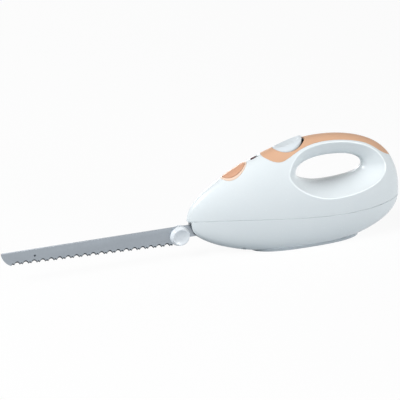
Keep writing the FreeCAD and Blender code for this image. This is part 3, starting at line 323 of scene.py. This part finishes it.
def grow(name, tree, mesh, values):
    """The object that a tree makes of a mesh with those values, as a plain mesh."""
    piece = new_piece(name, mesh)
    modifier = piece.modifiers.new(tree.name, "NODES")
    modifier.node_group = tree
    sockets = {item.name: item.identifier for item in tree.interface.items_tree if item.in_out == "INPUT"}
    for label, value in values.items():
        modifier[sockets[label]] = value
    grown = bpy.data.meshes.new_from_object(piece.evaluated_get(bpy.context.evaluated_depsgraph_get()))
    piece.modifiers.remove(modifier)
    piece.data = grown
    grown.polygons.foreach_set("use_smooth", [True] * len(grown.polygons))
    grown.set_sharp_from_angle(angle=sharp_angle)
    return piece


def scallop_grind():
    """Cuts a blade with two rows of grinding wheels, one above the scallops and one above the nicks between
    them, and darkens what they touch."""
    tree, given = new_tree("scallop_grind", {"Teeth": "Int", "Step": "Vector", "Tilt": "Rotation",
                                             "Wheel length": "Float", "First scallop": "Vector",
                                             "Scallop wheel": "Float", "First nick": "Vector",
                                             "Nick wheel": "Float", "Blade finish": "Material",
                                             "Ground finish": "Material"})
    cut = add(tree, "GeometryNodeMeshBoolean", {"Mesh 1": given["Geometry"]},
              operation="DIFFERENCE", solver="EXACT")
    for kind in ("scallop", "nick"):
        row = add(tree, "GeometryNodeMeshLine", {"Count": given["Teeth"], "Offset": given["Step"],
                                                 "Start Location": given["First " + kind]}, mode="OFFSET")
        wheel = add(tree, "GeometryNodeMeshCylinder", {"Vertices": wheel_sides,
                                                       "Radius": given[kind.title() + " wheel"],
                                                       "Depth": given["Wheel length"]})
        marked = add(tree, "GeometryNodeStoreNamedAttribute",
                     {"Geometry": wheel.outputs["Mesh"], "Name": "ground", "Value": True},
                     data_type="BOOLEAN", domain="FACE")
        wheels = add(tree, "GeometryNodeInstanceOnPoints", {"Points": row.outputs["Mesh"],
                                                            "Instance": marked.outputs["Geometry"],
                                                            "Rotation": given["Tilt"]})
        solid_wheels = add(tree, "GeometryNodeRealizeInstances", {"Geometry": wheels.outputs["Instances"]})
        tree.links.new(solid_wheels.outputs["Geometry"], cut.inputs["Mesh 2"])
    whole = add(tree, "GeometryNodeRealizeInstances", {"Geometry": cut.outputs["Mesh"]})
    steel = add(tree, "GeometryNodeSetMaterial", {"Geometry": whole.outputs["Geometry"],
                                                  "Material": given["Blade finish"]})
    touched = add(tree, "GeometryNodeInputNamedAttribute", {"Name": "ground"}, data_type="BOOLEAN")
    ground = add(tree, "GeometryNodeSetMaterial", {"Geometry": steel.outputs["Geometry"],
                                                   "Selection": touched.outputs["Attribute"],
                                                   "Material": given["Ground finish"]})
    add(tree, "NodeGroupOutput", {"Geometry": ground.outputs["Geometry"]})
    return tree


def wheel_place(x, height, radius, y):
    """The middle of a leaning wheel whose rim meets the blade's inner face at that height."""
    return (x * mm, y, (height - radius / math.sin(wheel_lean)) * mm)


# Both blades with their ground teeth
first_nick_x = first_crest_x - tooth_pitch / 2
first_nick_height = first_crest_height + crest_fall / 2 - nick_drop
grinder = scallop_grind()
for name, side in (("blade_left", -1), ("blade_right", 1)):
    low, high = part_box(name)
    inner = high[1] if side < 0 else low[1]
    blade = grow(name + "_ground", grinder, merged(nodes[name]), {
        "Teeth": tooth_count, "Step": (tooth_pitch * mm, 0.0, -crest_fall * mm),
        "First scallop": wheel_place(first_crest_x, first_crest_height, scallop_wheel, inner),
        "Scallop wheel": scallop_wheel * mm,
        "First nick": wheel_place(first_nick_x, first_nick_height, nick_wheel, inner),
        "Nick wheel": nick_wheel * mm, "Wheel length": wheel_length * mm,
        "Tilt": (-side * wheel_lean, 0.0, 0.0), "Blade finish": blade_steel, "Ground finish": ground_steel})
    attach(blade, body_names[nodes[name].parent])
    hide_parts(name)


def cross_head_screws():
    """Screws with a tapered head and a cross recess, one on each point, head down."""
    tree, given = new_tree("cross_head_screws", {"Head radius": "Float", "Head height": "Float",
                                                 "Shank radius": "Float", "Shank length": "Float",
                                                 "Recess": "Vector", "Recess turned": "Vector",
                                                 "Finish": "Material"})
    taper = add(tree, "ShaderNodeMath", {0: given["Head radius"], 1: head_taper_share}, operation="MULTIPLY")
    head = add(tree, "GeometryNodeMeshCone", {"Vertices": head_sides, "Radius Bottom": taper.outputs[0],
                                              "Radius Top": given["Head radius"],
                                              "Depth": given["Head height"]})
    cross = add(tree, "GeometryNodeMeshBoolean", {"Mesh 1": head.outputs["Mesh"]},
                operation="DIFFERENCE", solver="EXACT")
    for label in ("Recess", "Recess turned"):
        arm = add(tree, "GeometryNodeMeshCube", {"Size": given[label]})
        tree.links.new(arm.outputs["Mesh"], cross.inputs["Mesh 2"])
    shank = add(tree, "GeometryNodeMeshCylinder", {"Vertices": shank_sides, "Radius": given["Shank radius"],
                                                   "Depth": given["Shank length"]})
    half = add(tree, "ShaderNodeMath", {0: given["Shank length"], 1: 0.5}, operation="MULTIPLY")
    middle = add(tree, "ShaderNodeMath", {0: half.outputs[0], 1: given["Head height"]}, operation="ADD")
    lift = add(tree, "ShaderNodeCombineXYZ", {"Z": middle.outputs[0]})
    raised = add(tree, "GeometryNodeTransform", {"Geometry": shank.outputs["Mesh"],
                                                 "Translation": lift.outputs[0]})
    screw = add(tree, "GeometryNodeJoinGeometry", {"Geometry": cross.outputs["Mesh"]})
    tree.links.new(raised.outputs["Geometry"], screw.inputs["Geometry"])
    placed = add(tree, "GeometryNodeInstanceOnPoints", {"Points": given["Geometry"],
                                                        "Instance": screw.outputs["Geometry"]})
    whole = add(tree, "GeometryNodeRealizeInstances", {"Geometry": placed.outputs["Instances"]})
    plated = add(tree, "GeometryNodeSetMaterial", {"Geometry": whole.outputs["Geometry"],
                                                   "Material": given["Finish"]})
    add(tree, "NodeGroupOutput", {"Geometry": plated.outputs["Geometry"]})
    return tree


def islands(mesh):
    """The lowest and highest corner of each separate solid in a mesh, in the mesh's own order."""
    work = bmesh.new()
    work.from_mesh(mesh)
    left = set(work.verts)
    boxes = []
    for start in work.verts:
        if start not in left:
            continue
        left.remove(start)
        group = set()
        waiting = [start]
        while waiting:
            vert = waiting.pop()
            group.add(vert)
            near = {e.other_vert(vert) for e in vert.link_edges} & left
            left -= near
            waiting += near
        boxes.append([Vector([pick(v.co[k] for v in group) for k in range(3)]) for pick in (min, max)])
    work.free()
    return boxes


# Screws under the handle and the foot, in the places of the CAD screws. All of a kind get the length of the
# shortest, so that none runs past its hole
screw_tree = cross_head_screws()
for name in ("case_screws", "foot_screws"):
    boxes = islands(merged(nodes[name]))
    low, high = min(boxes, key=lambda box: box[1].z - box[0].z)
    head_radius = (high[0] - low[0]) / 2
    spots = bpy.data.meshes.new(name + "_spots")
    spots.from_pydata([((a[0] + b[0]) / 2, (a[1] + b[1]) / 2, a[2]) for a, b in boxes], [], [])
    recess = (recess_length_share * head_radius, recess_width * mm, 2 * recess_depth * mm)
    screws = grow(name + "_cross_head", screw_tree, spots, {
        "Head radius": head_radius, "Head height": screw_head_height * mm,
        "Shank radius": shank_radius_share * head_radius,
        "Shank length": high[2] - low[2] - screw_head_height * mm, "Recess": recess,
        "Recess turned": (recess[1], recess[0], recess[2]), "Finish": zinc_steel})
    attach(screws, body_names[nodes[name].parent])
    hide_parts(name)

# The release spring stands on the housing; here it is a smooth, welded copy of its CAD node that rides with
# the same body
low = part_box("release_spring")[0]
coil = new_piece("release_spring_coil", merged(nodes["release_spring"]))
coil.data.polygons.foreach_set("use_smooth", [True] * len(coil.data.polygons))
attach(coil, body_names[nodes["release_spring"].parent])
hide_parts("release_spring")
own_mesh(coil)


def seen_rays(tree):
    """1 for rays that show the studio itself: the eye's, a reflection's and one through something clear."""
    rays = add(tree, "ShaderNodeLightPath")
    seen = add(tree, "ShaderNodeMath", {0: rays.outputs["Is Camera Ray"], 1: rays.outputs["Is Glossy Ray"]},
               operation="MAXIMUM")
    seen = add(tree, "ShaderNodeMath", {0: seen.outputs[0], 1: rays.outputs["Is Transmission Ray"]},
               operation="MAXIMUM")
    return seen.outputs[0]


def paper_floor():
    """White paper that keeps a faint shadow for the eye and throws a dim, bluish light back at the knife."""
    paint = bpy.data.materials.new("white_paper_floor")
    paint.use_nodes = True
    tree = paint.node_tree
    tree.nodes.clear()
    seen = seen_rays(tree)
    share = add(tree, "ShaderNodeMath", {0: seen, 1: floor_white_share}, operation="MULTIPLY")
    bounce = add(tree, "ShaderNodeMix", {"Factor": seen, "A": linear("5A6C78"), "B": linear("FAFAFA")},
                 data_type="RGBA")
    paper = add(tree, "ShaderNodeBsdfDiffuse", {"Color": bounce.outputs["Result"]})
    glow = add(tree, "ShaderNodeEmission", {"Color": pure_white, "Strength": 1.0})
    mixed = add(tree, "ShaderNodeMixShader", {0: share.outputs[0], 1: paper.outputs[0], 2: glow.outputs[0]})
    add(tree, "ShaderNodeOutputMaterial", {"Surface": mixed.outputs[0]})
    mesh = bpy.data.meshes.new("studio_floor")
    corners = [(x * floor_reach, y * floor_reach, 0) for x, y in ((-1, -1), (1, -1), (1, 1), (-1, 1))]
    mesh.from_pydata(corners, [], [(0, 1, 2, 3)])
    mesh.materials.append(paint)
    return new_piece("studio_floor", mesh)


def studio_surround():
    """A world that is white for the eye and for reflections, with almost no light of its own."""
    world = bpy.data.worlds.new("studio_surround")
    world.use_nodes = True
    tree = world.node_tree
    tree.nodes.clear()
    fill = add(tree, "ShaderNodeBackground", {"Color": linear("D6E4F0"), "Strength": surround_fill})
    white = add(tree, "ShaderNodeBackground", {"Color": pure_white, "Strength": 1.0})
    mixed = add(tree, "ShaderNodeMixShader", {0: seen_rays(tree), 1: fill.outputs[0], 2: white.outputs[0]})
    add(tree, "ShaderNodeOutputWorld", {"Surface": mixed.outputs[0]})
    return world


def aimed(name, data, place, aim):
    """A lamp or camera at a place, facing a point."""
    piece = bpy.data.objects.new(name, data)
    piece.location = place
    piece.rotation_euler = (Vector(aim) - Vector(place)).to_track_quat("-Z", "Y").to_euler()
    bpy.context.scene.collection.objects.link(piece)
    return piece


# Studio: white floor and surround, a soft lamp from each side in front and a weaker one for the far side
floor = paper_floor()
bpy.context.scene.world = studio_surround()
for name, (place, power) in soft_boxes.items():
    light = bpy.data.lights.new(name, "AREA")
    light.shape = "SQUARE"
    light.size = soft_box_size
    light.energy = power
    aimed(name, light, place, soft_box_aim)

camera = bpy.data.cameras.new("photo_camera")
camera.lens = camera_lens
camera.sensor_width = camera_sensor
bpy.context.scene.camera = aimed("photo_camera", camera, camera_place, camera_aim)
bpy.context.scene.view_settings.view_transform = "Standard"

bpy.context.view_layer.update()
